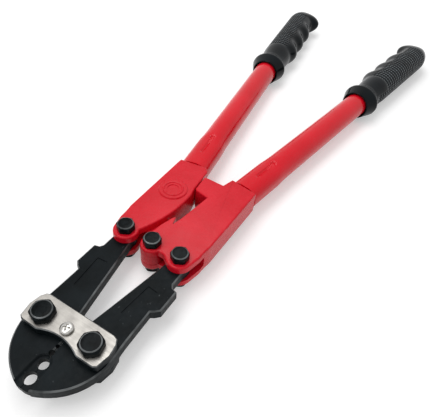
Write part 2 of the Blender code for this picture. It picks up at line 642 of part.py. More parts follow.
def grip(side, mat):
    """A moulded grip: a flared collar, a plain neck, finger scallops inside and a guard hook."""
    name = "grip_" + SIDE_NAMES[side]

    def section(angle, distance):
        outwards, inwards, high = grip_section(distance)
        reach = outwards if math.cos(angle) * side > 0 else inwards
        return (reach * math.cos(angle), high * math.sin(angle))

    body = lofted(name, grip_stations(), 20, section, mat)
    bore_end = TUBE_LENGTH - GRIP_START + GAP
    bore = turned(name + "_bore", ((GRIP_BORE, -5.0), (GRIP_BORE, bore_end)), 32)
    wide = GRIP_MOUTH - LIP_WALL
    mouth = ((wide, -5.0), (wide, LIP_DEPTH), (GRIP_BORE - 2.0, LIP_DEPTH + wide - GRIP_BORE + 2.0))
    skirt = turned(name + "_skirt", mouth, 32)
    for obj in (body, bore, skirt):
        place_on_tube(obj, side, GRIP_START)
    combine(body, bore)
    return combine(body, skirt)


def far_end():
    """The largest X that the grips reach: their guard hooks stand out from the slanted tube line."""
    return max((SEAM + TUBE_DIRECTION * (GRIP_START + station)).x + math.sin(SPLAY) * grip_section(station)[1]
               for station in grip_stations())


# ---- the whole tool -----------------------------------------------------------------------------------
def empty(name, place, parent=None):
    obj = bpy.data.objects.new(name, None)
    obj.empty_display_size = 0.02
    obj.location = place
    obj.parent = parent
    bpy.context.scene.collection.objects.link(obj)
    return obj


def hang(objects, pivot):
    """Parent finished pieces to their pivot, with their meshes and guides shifted so that they stay put."""
    for obj in objects:
        obj.parent = pivot
        for mesh in {piece.data for piece in (obj, *obj.children_recursive)}:
            mesh.transform(Matrix.Translation(-pivot.location))


def flat(point):
    return (point[0] * MM, point[1] * MM, 0.0)


def build():
    clear_scene()
    black = {name: material(name, BLACK_STEEL) for name in
             ("black_oxide_jaw", "black_oxide_fastener", "black_oxide_spacer")}
    plate_steel = material("ground_plate_steel", BRIGHT_STEEL)
    red = material("red_paint_forging", RED_PAINT)
    red_tube = material("red_paint_tube", RED_PAINT)
    plastic = material("black_grip_plastic", BLACK_PLASTIC)
    zinc = material("zinc_plated_screw", ZINC)
    fastener = black["black_oxide_fastener"]

    middle = (far_end() - NOSE_REACH) / 2
    root = empty("tool_frame", (-middle * MM, 0.0, REST_DEPTH * MM))
    plates = empty("plates_frame", (0.0, 0.0, 0.0), root)
    jaw_pivots = {side: empty(f"jaw_{SIDE_NAMES[side]}_pivot", flat(LINKS[side]), root) for side in (1, -1)}
    handle_pivots = {side: empty(f"handle_{SIDE_NAMES[side]}_pivot", flat(TAILS[side]), root)
                     for side in (1, -1)}

    plate_seat = PLATE_OUT + GAP
    pieces = [link_plate("link_plate_top", PLATE_IN, plate_steel),
              link_plate("link_plate_bottom", -PLATE_OUT, plate_steel),
              spacer(black["black_oxide_spacer"]), centre_screw(zinc)]
    screw_nut_end = -plate_seat - SCREW_NUT_HEIGHT
    pieces.append(nut("screw_nut", (0.0, 0.0), SCREW_NUT_FLATS, 0.0, SCREW_RADIUS + GAP, screw_nut_end,
                      -plate_seat, zinc))
    for side, centre in LINKS.items():
        word = SIDE_NAMES[side]
        end = -LINK_NUT_BOTTOM + 0.2
        pieces.append(bolt(f"link_bolt_{word}", centre, LINK_FLATS, LINK_TURN, LINK_CROWN, LINK_SHANK,
                           plate_seat, plate_seat + LINK_HEAD_HEIGHT, end, fastener))
        pieces.append(nut(f"link_nut_{word}", centre, LINK_FLATS, LINK_TURN, LINK_SHANK + GAP,
                          -LINK_NUT_BOTTOM, -plate_seat, fastener))
    hang(pieces, plates)

    for side, pivot in jaw_pivots.items():
        hang([jaw(side, black["black_oxide_jaw"])], pivot)

    seat = HEAD_TOP + GAP
    heads = {1: left_head(red), -1: right_head(red)}
    for side, pivot in handle_pivots.items():
        word = SIDE_NAMES[side]
        pieces = [heads[side], handle_tube(side, red_tube), grip(side, plastic)]
        places = [("tail_bolt_" + word, "tail_nut_" + word, TAILS[side])]
        if side < 0:
            places.append(("centre_bolt", "centre_nut", PIVOT))
        for bolt_name, nut_name, centre in places:
            pieces.append(bolt(bolt_name, centre, TAIL_FLATS, TAIL_TURN, TAIL_CROWN, TAIL_SHANK, seat,
                               seat + TAIL_HEAD_HEIGHT, -seat - TAIL_NUT_HEIGHT + 0.2, fastener))
            pieces.append(nut(nut_name, centre, TAIL_FLATS, TAIL_TURN, TAIL_SHANK + GAP,
                              -seat - TAIL_NUT_HEIGHT, -seat, fastener))
        hang(pieces, pivot)


build()
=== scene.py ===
# %% [markdown]
# # A hand crimper built like a pair of bolt cutters
#
# The tool is almost all steel: two black forged jaws, two ground link plates, two red enamelled
# handles and two black moulded grips.  Its shapes and sizes come ready made from the frame, which
# is loaded first.  This lesson dresses that frame.  Flat forgings keep their own shape and get
# softer shading, while everything round (bolts, nuts, screw, tubes, grips) is lofted again, with
# enough rings to look turned or moulded.

import json
import math

import bmesh
import bpy
from mathutils import Matrix, Vector


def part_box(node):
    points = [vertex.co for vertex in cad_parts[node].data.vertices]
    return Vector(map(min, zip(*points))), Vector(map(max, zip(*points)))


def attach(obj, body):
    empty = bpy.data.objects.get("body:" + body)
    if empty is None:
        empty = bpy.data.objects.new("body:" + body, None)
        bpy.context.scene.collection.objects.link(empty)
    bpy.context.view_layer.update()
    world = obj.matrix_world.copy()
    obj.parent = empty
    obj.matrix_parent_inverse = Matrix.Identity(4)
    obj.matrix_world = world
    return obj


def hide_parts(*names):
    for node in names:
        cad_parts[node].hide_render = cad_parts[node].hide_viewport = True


MM = 0.001

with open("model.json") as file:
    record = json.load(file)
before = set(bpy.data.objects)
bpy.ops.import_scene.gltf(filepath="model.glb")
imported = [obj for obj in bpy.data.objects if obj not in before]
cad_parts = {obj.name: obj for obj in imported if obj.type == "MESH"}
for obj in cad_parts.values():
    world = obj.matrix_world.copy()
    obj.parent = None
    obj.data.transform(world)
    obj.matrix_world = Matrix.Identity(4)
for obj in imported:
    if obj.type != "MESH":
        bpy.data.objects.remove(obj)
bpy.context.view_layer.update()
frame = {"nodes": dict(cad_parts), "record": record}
print("frame loaded:", len(frame["nodes"]), "pieces")

# %% [markdown]
# ## Finding one's way on the tool
#
# All sizes below are millimetres from one point: the middle of the line between the two link
# bolts, half way through the tool's thickness.  +X runs to the grips, +Y to the left.  The frame's
# joints say where the bolts are, so nothing has to be measured twice.

# %% The tool's own origin, and the two sides
record = frame["record"]
behaviour = record["behaviour"]
joint_places = {joint["name"]: Vector(joint["pos_m"]) for joint in behaviour["joints"]}
ORIGIN = (joint_places["jaw_left_pivot"] + joint_places["jaw_right_pivot"]) / 2
SIDES = {"left": 1, "right": -1}
body_of_node = {node: body for body, nodes in behaviour["bodies"].items() for node in nodes}


def on_tool(x, y, z):
    """A point of the tool in millimetres as a place in the scene, in metres."""
    return ORIGIN + Vector((x, y, z)) * MM


tail_bolt = (joint_places["handle_left_pivot"] - ORIGIN) / MM
print("tail bolt at", [round(value, 1) for value in tail_bolt])

# %% [markdown]
# ## Colours and nodes
#
# Colours are written as the hex values that a colour picker shows.  Blender's shaders work with
# linear light, so one function converts them.  A second one adds a shader node, sets its options
# and fills or links its sockets, which keeps every finish below down to a few lines.


# %% Two helpers for finishes
def linear(hex_colour):
    """An sRGB hex colour as the linear RGBA that shaders expect."""
    channels = [int(hex_colour[i:i + 2], 16) / 255 for i in (1, 3, 5)]
    return (*[c / 12.92 if c <= 0.04045 else ((c + 0.055) / 1.055) ** 2.4 for c in channels], 1.0)


def add(mat, kind, inputs=None, **settings):
    """Add a node to a material: settings are its options, inputs are values or sockets to link."""
    node = mat.node_tree.nodes.new(kind)
    for name, value in settings.items():
        setattr(node, name, value)
    for name, value in (inputs or {}).items():
        if isinstance(value, bpy.types.NodeSocket):
            mat.node_tree.links.new(value, node.inputs[name])
        else:
            node.inputs[name].default_value = value
    return node


def new_finish(name, **constants):
    """A material with one Principled shader; constants are its plain sockets."""
    mat = bpy.data.materials.new(name)
    mat.use_nodes = True
    shader = mat.node_tree.nodes["Principled BSDF"]
    for socket, value in constants.items():
        shader.inputs[socket.replace("_", " ")].default_value = value
    return mat, shader


def pattern_scale(size):
    """The noise scale that makes patches of about that many millimetres."""
    return 1 / (size * MM)


# %% [markdown]
# Every finish here is built from the same three layers: a broad patchiness in the colour, a finer
# one in the gloss, and a grain that the bump follows.  What differs is their size and strength, so
# one function lays them and each finish states its own numbers.
#
# The Mix node has its colour sockets at 6 and 7 and its colour result at 2.

# %% The three layers of a worked surface
MIX_A, MIX_B, MIX_COLOUR = 6, 7, 2


def layered(mat, shader, colours, patch, gloss_patch, gloss, grain, depth, stretch=(1.0, 1.0, 1.0)):
    """Lay patchy colour, patchy gloss and a bumped grain, and return the colour's socket.

    The sizes of patches and grain, and the depth, are in millimetres.
    """
    links = mat.node_tree.links
    place = add(mat, "ShaderNodeTexCoord").outputs["Object"]
    drawn = add(mat, "ShaderNodeMapping", {"Vector": place, "Scale": stretch}).outputs["Vector"]
    broad = add(mat, "ShaderNodeTexNoise",
                {"Vector": place, "Scale": pattern_scale(patch), "Detail": 4.0})
    spread = add(mat, "ShaderNodeMapRange",
                 {"Value": broad.outputs[0], "From Min": 0.35, "From Max": 0.65})
    colour = add(mat, "ShaderNodeMix",
                 {0: spread.outputs[0], MIX_A: linear(colours[0]), MIX_B: linear(colours[1])},
                 data_type="RGBA")
    fine = add(mat, "ShaderNodeTexNoise",
               {"Vector": drawn, "Scale": pattern_scale(gloss_patch), "Detail": 3.0})
    rough = add(mat, "ShaderNodeMapRange",
                {"Value": fine.outputs[0], "From Min": 0.3, "From Max": 0.7,
                 "To Min": gloss[0], "To Max": gloss[1]})
    grit = add(mat, "ShaderNodeTexNoise",
               {"Vector": drawn, "Scale": pattern_scale(grain), "Detail": 2.0})
    bump = add(mat, "ShaderNodeBump",
               {"Height": grit.outputs[0], "Distance": depth * MM, "Strength": 1.0})
    links.new(colour.outputs[MIX_COLOUR], shader.inputs["Base Color"])
    links.new(rough.outputs[0], shader.inputs["Roughness"])
    links.new(bump.outputs[0], shader.inputs["Normal"])
    return colour.outputs[MIX_COLOUR]


# %% [markdown]
# ### Black oxide on forged steel
#
# The jaws are drop forged, blasted and blackened in a hot salt bath.  That leaves a blue-black
# skin with a dull sheen and a fine sandy grain, which is drawn at 1.1 mm so that it shows.
# Handling and tools rub small bright specks through it, which a thresholded noise puts back.

# %% Jaw finish
SPECK_SIZE = 2.2
SPECK_START = 0.69            # noise level at which a speck begins to show
SPECK_FULL = 0.76

jaw_black, shader = new_finish("black_oxide_forged_steel", Specular_IOR_Level=0.06)
skin = layered(jaw_black, shader, ("#0a0f11", "#141a1d"), patch=16.0, gloss_patch=3.0,
               gloss=(0.3, 0.46), grain=1.1, depth=0.05)
place = add(jaw_black, "ShaderNodeTexCoord").outputs["Object"]
specks = add(jaw_black, "ShaderNodeTexNoise",
             {"Vector": place, "Scale": pattern_scale(SPECK_SIZE), "Detail": 5.0})
rubbed = add(jaw_black, "ShaderNodeMapRange",
             {"Value": specks.outputs[0], "From Min": SPECK_START, "From Max": SPECK_FULL})
worn = add(jaw_black, "ShaderNodeMix",
           {0: rubbed.outputs[0], MIX_A: skin, MIX_B: linear("#4c5153")}, data_type="RGBA")
jaw_black.node_tree.links.new(worn.outputs[MIX_COLOUR], shader.inputs["Base Color"])

# %% [markdown]
# The thin bright line that light draws along a forging's narrow chamfers is painted in: a
# lighter, part-metallic finish, given only to narrow chamfers, as a painted highlight.

# %% Painted edge highlight
painted_edge_highlight, shader = new_finish("steel_edge_painted_highlight", Metallic=0.6)
layered(painted_edge_highlight, shader, ("#2c2f30", "#6f7273"), patch=14.0, gloss_patch=1.5,
        gloss=(0.3, 0.45), grain=0.6, depth=0.02)

# %% [markdown]
# ### Blackened bolts and nuts
#
# Bolts are turned and cold headed, so they are smoother than the forgings, and what they mirror
# is sharper.

# %% Fastener finish
bolt_black, shader = new_finish("black_oxide_fastener", Specular_IOR_Level=0.05)
layered(bolt_black, shader, ("#070a0b", "#14191b"), patch=4.0, gloss_patch=1.6,
        gloss=(0.14, 0.26), grain=0.9, depth=0.03)

# %% [markdown]
# ### Ground plate steel
#
# The outer faces of the link plates are surface ground.  The wheel leaves fine straight scratches
# that all run the same way, so the noise is stretched forty times along Y, the plate's length.
# Real scratches are a few hundredths of a millimetre wide, and are drawn at 0.25 mm to show.

# %% Plate finish
plate_steel, shader = new_finish("ground_plate_steel", Metallic=1.0)
layered(plate_steel, shader, ("#86837f", "#9f9c97"), patch=11.0, gloss_patch=0.5,
        gloss=(0.34, 0.5), grain=0.25, depth=0.012, stretch=(1.0, 0.025, 1.0))

# %% [markdown]
# ### Zinc plate on the screw
#
# Bright zinc is nearly a mirror with a faint cloudiness.

# %% Screw finish
zinc, shader = new_finish("bright_zinc_plate", Metallic=1.0)
layered(zinc, shader, ("#a9a7a3", "#c6c4c0"), patch=2.5, gloss_patch=0.8,
        gloss=(0.2, 0.32), grain=0.6, depth=0.02)

# %% [markdown]
# ### Red enamel
#
# The heads are forgings under a thick semi-gloss enamel.  It flows over the forged skin and
# leaves a soft waviness of two or three millimetres.  On the drawn tubes the same paint lies
# smoother.

# %% Enamel on forgings and on tube
head_red, shader = new_finish("red_enamel_on_forging", Specular_IOR_Level=0.2)
layered(head_red, shader, ("#ca0c20", "#d51629"), patch=20.0, gloss_patch=4.0,
        gloss=(0.22, 0.32), grain=2.4, depth=0.03)
tube_red, shader = new_finish("red_enamel_on_tube", Specular_IOR_Level=0.2)
layered(tube_red, shader, ("#cf0c1e", "#d81425"), patch=30.0, gloss_patch=6.0,
        gloss=(0.14, 0.2), grain=4.0, depth=0.02)

# %% [markdown]
# ### Moulded grip plastic
#
# The grips are soft PVC, moulded with a satin skin.  The finish only holds the fine leathery grain
# of the mould: the chequering and the finger bumps are real geometry, further down.

# %% Grip finish
grip_black, shader = new_finish("moulded_soft_pvc", Specular_IOR_Level=0.07)
layered(grip_black, shader, ("#090d0f", "#10161a"), patch=24.0, gloss_patch=5.0,
        gloss=(0.14, 0.22), grain=0.8, depth=0.012)

# %% [markdown]
# The tops of the chequered pads get a lighter grey, glossier finish than the plastic between them:
# a painted glint, where light catches the pads.

# %% Painted glint on the pads
pad_painted_glint, shader = new_finish("soft_pvc_pads_painted_glint", Specular_IOR_Level=0.2)
layered(pad_painted_glint, shader, ("#0d1214", "#565f64"), patch=9.0, gloss_patch=3.0,
        gloss=(0.25, 0.35), grain=0.8, depth=0.012)
print("finishes:", [mat.name for mat in bpy.data.materials])

# %% [markdown]
# ## Making and keeping a piece
#
# Each new piece ends in the same way.  Its normals are made to point outwards, its mesh goes into
# an object that stays at the origin, and smooth shading is broken at real edges.  The piece rides
# on the body of a frame piece and gets its materials, and most pieces also take its place.


# %% Two functions to finish a piece
def add_piece(name, bm, mats, node, sharp=35.0):
    """Turn a bmesh into a piece that rides and is finished like a node of the frame."""
    bmesh.ops.recalc_face_normals(bm, faces=bm.faces)
    mesh = bpy.data.meshes.new(name)
    bm.to_mesh(mesh)
    bm.free()
    mesh.shade_smooth()
    mesh.set_sharp_from_angle(angle=math.radians(sharp))
    for mat in mats:
        mesh.materials.append(mat)
    piece = bpy.data.objects.new(name, mesh)
    bpy.context.scene.collection.objects.link(piece)
    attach(piece, body_of_node[node])
    print(piece.name, len(mesh.polygons), "faces")
    return piece


def keep(node, suffix, bm, mats, sharp=35.0):
    """Turn a bmesh into the piece that stands for a node of the frame."""
    piece = add_piece(node + suffix, bm, mats, node, sharp)
    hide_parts(node)
    return piece


# %% [markdown]
# ## Forgings and plates
#
# The jaws, heads and plates already have their true outline.  Their frame meshes are loose
# triangles, so a copy is welded and its flat areas are merged.  The large flats would still be
# shaded askew next to their rounded edges, and a Weighted Normal modifier cures that by letting
# the largest face at each corner decide.


# %% A welded copy of a frame piece
WELD = 0.001 * MM
SAME_PLANE = math.radians(1.0)
FLATS_WEIGHT = 90


def welded_copy(node):
    """A frame piece's mesh in one skin, with its flat areas merged."""
    bm = bmesh.new()
    bm.from_mesh(frame["nodes"][node].data)
    bmesh.ops.remove_doubles(bm, verts=bm.verts, dist=WELD)
    bmesh.ops.dissolve_limit(bm, angle_limit=SAME_PLANE, verts=bm.verts, edges=bm.edges)
    return bm


def weight_normals(piece):
    """Let the largest face at each corner decide how that corner is shaded."""
    weighted = piece.modifiers.new("flats_decide", "WEIGHTED_NORMAL")
    weighted.keep_sharp = True
    weighted.weight = FLATS_WEIGHT


# %% [markdown]
# A jaw's narrow chamfers lean between the flat faces and the upright sides, so the slope of a face
# is enough to find them.  They take the painted edge highlight.

# %% The jaws
STEEP, FLAT = 0.3, 0.95       # how far a normal points up, between a side and a flat face

for node in ("jaw_left", "jaw_right"):
    bm = welded_copy(node)
    for face in bm.faces:
        # chamfer faces take the second finish, the painted edge highlight
        face.material_index = int(STEEP < abs(face.normal.z) < FLAT)
    weight_normals(keep(node, "_forging", bm, [jaw_black, painted_edge_highlight]))

# %% [markdown]
# A link plate is ground only on its outer face.  Its sides and its inner face stay black from the
# oxide bath, and the chamfer between them takes the painted edge highlight.

# %% The link plates
GROUND, BLACK, EDGE_HIGHLIGHT = 0, 1, 2

for node, up in (("link_plate_top", 1), ("link_plate_bottom", -1)):
    bm = welded_copy(node)
    for face in bm.faces:
        outer = face.normal.z * up
        face.material_index = GROUND if outer > FLAT else EDGE_HIGHLIGHT if outer > STEEP else BLACK
    weight_normals(keep(node, "_ground", bm, [plate_steel, jaw_black, painted_edge_highlight]))

# %% [markdown]
# The heads are red all over.  The spacer between the plates keeps the frame's own mesh, and gets
# the fasteners' finish.

# %% The handle heads and the spacer
for node in ("handle_head_left", "handle_head_right"):
    weight_normals(keep(node, "_forging", welded_copy(node), [head_red]))
frame["nodes"]["spacer_sleeve"].data.materials.clear()
frame["nodes"]["spacer_sleeve"].data.materials.append(bolt_black)

# %% [markdown]
# ## Lofting round pieces
#
# Bolts, tubes and grips are all stacks of rings.  The loft starts from Blender's circle and
# extrudes its rim once for each ring, using Z as a counter.  When all rings exist, a function says
# where each point really goes, given its ring and its angle.  A piece that is open at both ends
# runs up outside and down inside, and its last ring is welded to its first.


# %% The loft
def loft(count, segments, point, through=False):
    """A bmesh of count rings; point(ring, angle) is in metres.  A through piece closes on itself."""
    bm = bmesh.new()
    bmesh.ops.create_circle(bm, cap_ends=False, radius=1.0, segments=segments)
    rim = bm.edges[:]
    for _ in range(count - 1):
        made = bmesh.ops.extrude_edge_only(bm, edges=rim)["geom"]
        rim = [item for item in made if isinstance(item, bmesh.types.BMEdge) and item.is_boundary]
        verts = [item for item in made if isinstance(item, bmesh.types.BMVert)]
        bmesh.ops.translate(bm, vec=(0.0, 0.0, 1.0), verts=verts)
    for vert in bm.verts:
        vert.co = point(round(vert.co.z), math.atan2(vert.co.y, vert.co.x))
    if through:
        bmesh.ops.remove_doubles(bm, verts=bm.verts, dist=WELD)
    else:
        bmesh.ops.holes_fill(bm, edges=[edge for edge in bm.edges if edge.is_boundary], sides=0)
    return bm


# %% [markdown]
# The left head's boss carries a plain raised ring round its middle.  It is a lofted band with a
# rounded top that stands on the boss.

# %% The ring on the boss
BOSS_AHEAD = 52.5             # tail bolt to the boss, along the tool
BOSS_INSIDE = 3.4             # and inwards
BOSS_TOP = 10.8
RING_MIDDLE = 7.4
RING_HALF_WIDTH = 0.9
RING_RISE = 0.6
RING_SUNK = 0.3               # how far its flat underside lies in the boss
RING_STEPS = 8                # rings over the rounded top, and again over the underside
RING_SEGMENTS = 96


def ring_point(ring, angle):
    turn = math.pi * ring / RING_STEPS
    radius = RING_MIDDLE + RING_HALF_WIDTH * math.cos(turn)
    rise = RING_RISE * math.sin(turn) if ring <= RING_STEPS else -RING_SUNK
    x = tail_bolt.x + BOSS_AHEAD + radius * math.cos(angle)
    y = tail_bolt.y - BOSS_INSIDE + radius * math.sin(angle)
    return on_tool(x, y, BOSS_TOP + rise)


boss_ring = loft(2 * RING_STEPS + 1, RING_SEGMENTS, ring_point, through=True)
add_piece("boss_ring_left", boss_ring, [head_red], "handle_head_left")

# %% [markdown]
# ### Hexagon heads
#
# A bolt head is a hexagon bar with its corners turned away by a cone.  Seen from above, a point on
# its rim lies where the bar or the cone ends, whichever comes first, so the smaller of the two
# radii gives the true curved edge between them.  A soft minimum rounds that edge a little, as
# tumbling does.


# %% The radius of a chamfered hexagon
CORNER_TURNED = 0.35          # what the chamfering cut takes off the corners, all the way down
CHAMFER_SLOPE = 0.7
EDGE_SOFTNESS = 0.16


def hexagon_radius(angle, flats, turn):
    """Distance from the axis to the side of a hexagon bar, in the direction of an angle."""
    sixth = math.pi / 3
    from_flat = (angle - math.radians(turn)) % sixth - sixth / 2
    return flats / 2 / math.cos(from_flat)


def soft_min(a, b):
    """The smaller of two lengths, with the corner where they cross rounded off."""
    return (a + b - math.hypot(a - b, EDGE_SOFTNESS)) / 2


def head_ring(angle, flats, turn, crown, below_top):
    """The radius of a chamfered head, below its flat top by a distance."""
    corner = flats / math.sqrt(3) - CORNER_TURNED
    cone = crown + below_top / CHAMFER_SLOPE
    return soft_min(hexagon_radius(angle, flats, turn), min(corner, cone))


# %% [markdown]
# A bolt is one loft from the tip of its shank to the middle of its head.  Its two ends come from
# the frame piece's box.  The upper part of the chamfer, all the way round, takes the lighter finish
# of the painted edge highlight, where light catches the chamfer.

# %% Bolts
HEAD_SEGMENTS = 120
HEAD_RINGS = 18
BOLTS = {
    "link": {"flats": 14.0, "turn": 12.0, "crown": 5.6, "shank": 5.0, "head": 5.0},
    "tail": {"flats": 12.0, "turn": 0.0, "crown": 5.0, "shank": 4.0, "head": 5.3},
}
SHANK_CHAMFER = 0.5
CROWN_DROP = 0.03             # the tiny round where the chamfer meets the flat top: its height
CROWN_ROUND = 0.12            # and its width
HIGHLIGHT_FROM = 0.02            # depths below the head's top between which the chamfer gets the painted highlight
HIGHLIGHT_TO = 0.5


def axis_and_ends(node):
    """A fastener's upright axis and its two ends, in millimetres, from its box in the frame."""
    low, high = (Vector(corner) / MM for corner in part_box(node))
    middle = (low + high) / 2
    return middle.x, middle.y, low.z, high.z


def make_bolt(node, size):
    x, y, end, top = axis_and_ends(node)
    shank, head, crown = size["shank"], size["head"], size["crown"]
    steps = [head * (1 - (k / HEAD_RINGS) ** 2) for k in range(1, HEAD_RINGS)]
    rings = [(shank - SHANK_CHAMFER, end), (shank, end + SHANK_CHAMFER), (shank, top - head)]
    rings += [(None, top - below) for below in [head, *steps, CROWN_DROP]]
    rings += [(crown - CROWN_ROUND, top), (crown * 0.5, top)]

    def point(ring, angle):
        radius, height = rings[ring]
        if radius is None:
            radius = head_ring(angle, size["flats"], size["turn"], crown, top - height)
        return Vector((x + radius * math.cos(angle), y + radius * math.sin(angle), height)) * MM

    bm = loft(len(rings), HEAD_SEGMENTS, point)
    # the upper chamfer takes the painted highlight finish
    for face in bm.faces:
        below = top - face.calc_center_median().z / MM
        face.material_index = int(HIGHLIGHT_FROM < below < HIGHLIGHT_TO)
    keep(node, "_turned", bm, [bolt_black, painted_edge_highlight])


for word in ("left", "right"):
    make_bolt("link_bolt_" + word, BOLTS["link"])
for word in ("left", "right"):
    make_bolt("tail_bolt_" + word, BOLTS["tail"])
make_bolt("centre_bolt", BOLTS["tail"])

# %% [markdown]
# A nut is chamfered at both ends and bored through, so its loft runs up outside and back down the
# bore, which has a small countersink at each end.

# %% Nuts
NUT_CROWN = 0.47              # radius of the flat ring, as a share of the width across flats
NUT_RINGS = 24
COUNTERSINK = 0.4
NUTS = {
    "link": {"flats": 14.0, "turn": 12.0, "hole": 5.3},
    "tail": {"flats": 12.0, "turn": 0.0, "hole": 4.3},
    "screw": {"flats": 8.0, "turn": 0.0, "hole": 2.8},
}


def make_nut(node, size, mat):
    x, y, bottom, top = axis_and_ends(node)
    crown = size["flats"] * NUT_CROWN
    tall = top - bottom
    turns = [math.pi * k / NUT_RINGS for k in range(NUT_RINGS + 1)]
    steps = [bottom + tall * (1 - math.cos(turn)) / 2 for turn in turns]
    hole = size["hole"]
    mouth = hole + COUNTERSINK
    rings = [(mouth, bottom), *[(None, height) for height in steps], (mouth, top)]
    rings += [(hole, top - COUNTERSINK), (hole, bottom + COUNTERSINK), (mouth, bottom)]

    def point(ring, angle):
        radius, height = rings[ring]
        if radius is None:
            from_end = min(top - height, height - bottom)
            radius = head_ring(angle, size["flats"], size["turn"], crown, from_end)
        return Vector((x + radius * math.cos(angle), y + radius * math.sin(angle), height)) * MM

    keep(node, "_turned", loft(len(rings), HEAD_SEGMENTS, point, through=True), [mat])


for word in ("left", "right"):
    make_nut("link_nut_" + word, NUTS["link"], bolt_black)
for word in ("left", "right"):
    make_nut("tail_nut_" + word, NUTS["tail"], bolt_black)
make_nut("centre_nut", NUTS["tail"], bolt_black)
make_nut("screw_nut", NUTS["screw"], zinc)

# %% [markdown]
# ### The centre screw
#
# A pan head is a low dome over a short upright side.  The cross recess is pressed in: wherever a
# point of the dome falls inside one of its two arms it is pushed down, deepest in the middle.

# %% Screw with a cross recess
SCREW_RADIUS = 2.5
SCREW_TIP = 0.4               # chamfer at the shank's end
SCREW_HEAD = 4.1
SCREW_HEAD_HEIGHT = 2.4
SCREW_HEAD_EDGE = 0.1         # chamfer under the head
DOME_START = 1.0              # height of the head's upright side
DOME_FULLNESS = 2.6           # 2 would be an ellipse, and more is squarer
DOME_RINGS = 32
RECESS_REACH = 2.3
RECESS_HALF_WIDTH = 0.5
RECESS_DEPTH = 1.3
RECESS_SIDE = 0.2             # width over which its side walls slope
RECESS_END = 0.4              # and its end walls
RECESS_TURN = math.radians(20.0)


def ease(t):
    """A smooth step from 0 to 1."""
    t = min(max(t, 0.0), 1.0)
    return t * t * (3 - 2 * t)


def recess(x, y):
    """How far the cross recess goes down at a point of the screw's head."""
    u = abs(x * math.cos(RECESS_TURN) + y * math.sin(RECESS_TURN))
    v = abs(y * math.cos(RECESS_TURN) - x * math.sin(RECESS_TURN))
    depth = 0.0
    for across, along in ((u, v), (v, u)):
        inside = ease((RECESS_HALF_WIDTH - across) / RECESS_SIDE + 0.5)
        inside *= ease((RECESS_REACH - along) / RECESS_END)
        depth = max(depth, inside * RECESS_DEPTH * (1 - 0.5 * along / RECESS_REACH))
    return depth


def make_screw(node):
    x, y, end, top = axis_and_ends(node)
    seat = top - SCREW_HEAD_HEIGHT
    rings = [(SCREW_RADIUS - SCREW_TIP, end), (SCREW_RADIUS, end + SCREW_TIP), (SCREW_RADIUS, seat)]
    rings += [(SCREW_HEAD - SCREW_HEAD_EDGE, seat), (SCREW_HEAD, seat + SCREW_HEAD_EDGE)]
    for k in range(DOME_RINGS):
        across = SCREW_HEAD * (1 - k / DOME_RINGS)
        rise = math.sqrt(1 - (across / SCREW_HEAD) ** DOME_FULLNESS)
        rings.append((across, seat + DOME_START + (SCREW_HEAD_HEIGHT - DOME_START) * rise))

    def point(ring, angle):
        radius, height = rings[ring]
        dx, dy = radius * math.cos(angle), radius * math.sin(angle)
        if height > seat + DOME_START:
            height -= recess(dx, dy)
        return Vector((x + dx, y + dy, height)) * MM

    keep(node, "_pan_head", loft(len(rings), HEAD_SEGMENTS, point), [zinc], sharp=50.0)


make_screw("centre_screw")

# %% [markdown]
# ## The handle tubes
#
# Tube and grip share one slanted axis.  It starts at the seam, where the tube's flattened sleeve
# meets the forged head, and leans outwards by the splay angle.

# %% The tube's axis
HEAD_LENGTH = 88.5            # tail bolt to seam
TUBE_OFFSET = 1.3             # the axis starts this far outside the tail bolt
SPLAY = math.radians(8.7)
seam = tail_bolt + Vector((HEAD_LENGTH, TUBE_OFFSET, 0.0))
along = Vector((math.cos(SPLAY), math.sin(SPLAY), 0.0))
outwards = Vector((-math.sin(SPLAY), math.cos(SPLAY), 0.0))
print("seam at", [round(value, 1) for value in seam])


def on_handle(side, distance, out, up):
    """A point beside the handle's axis: a distance behind the seam, then outwards and up."""
    x, y, _ = seam + along * distance + outwards * out
    return on_tool(x, y * side, up)


# %% [markdown]
# The sleeve is pressed to a rounded box so that it lies flush with the head, and fades back to a
# round tube.  A staking punch has closed it with a short groove that ends in a deeper dimple.  The
# groove is real geometry: points near its line are pushed in by a smooth trough.

# %% Tube sizes
TUBE_RADIUS = 11.75
TUBE_WALL = 2.0
TUBE_LENGTH = 344.0
SLEEVE_LENGTH = 42.0
SLEEVE_HALF_WIDTH = 12.1
SLEEVE_HALF_HEIGHT = 10.3
SLEEVE_BLEND = 16.0
SLEEVE_SQUARENESS = 0.22
SPIGOT_ROOM = 8.8             # bore over the head's spigot
SPIGOT_BORE_END = 30.0
BORE_TAPER = 4.0              # length over which the bore widens to the plain tube's
START_GAP = 0.3
GROOVE = {"start": 18.0, "end": 36.0, "radius": 1.6, "depth": 1.25}
DIMPLE = {"start": 39.5, "end": 40.0, "radius": 2.3, "depth": 1.6}
TROUGH_SPREAD = 1.6           # how steep a mark's sides are: higher is steeper
MARKED_START = 15.0           # the marked part of the sleeve has a ring every half millimetre or so
MARKED_STEP = 0.55
MARKED_RINGS = 54
TUBE_SEGMENTS = 144


def trough(mark, distance, across):
    """How deep a staked mark is at a point of the sleeve's top."""
    past = max(mark["start"] - distance, distance - mark["end"], 0.0)
    reach = math.hypot(past, across) / mark["radius"]
    return mark["depth"] * ease(TROUGH_SPREAD - TROUGH_SPREAD * reach)


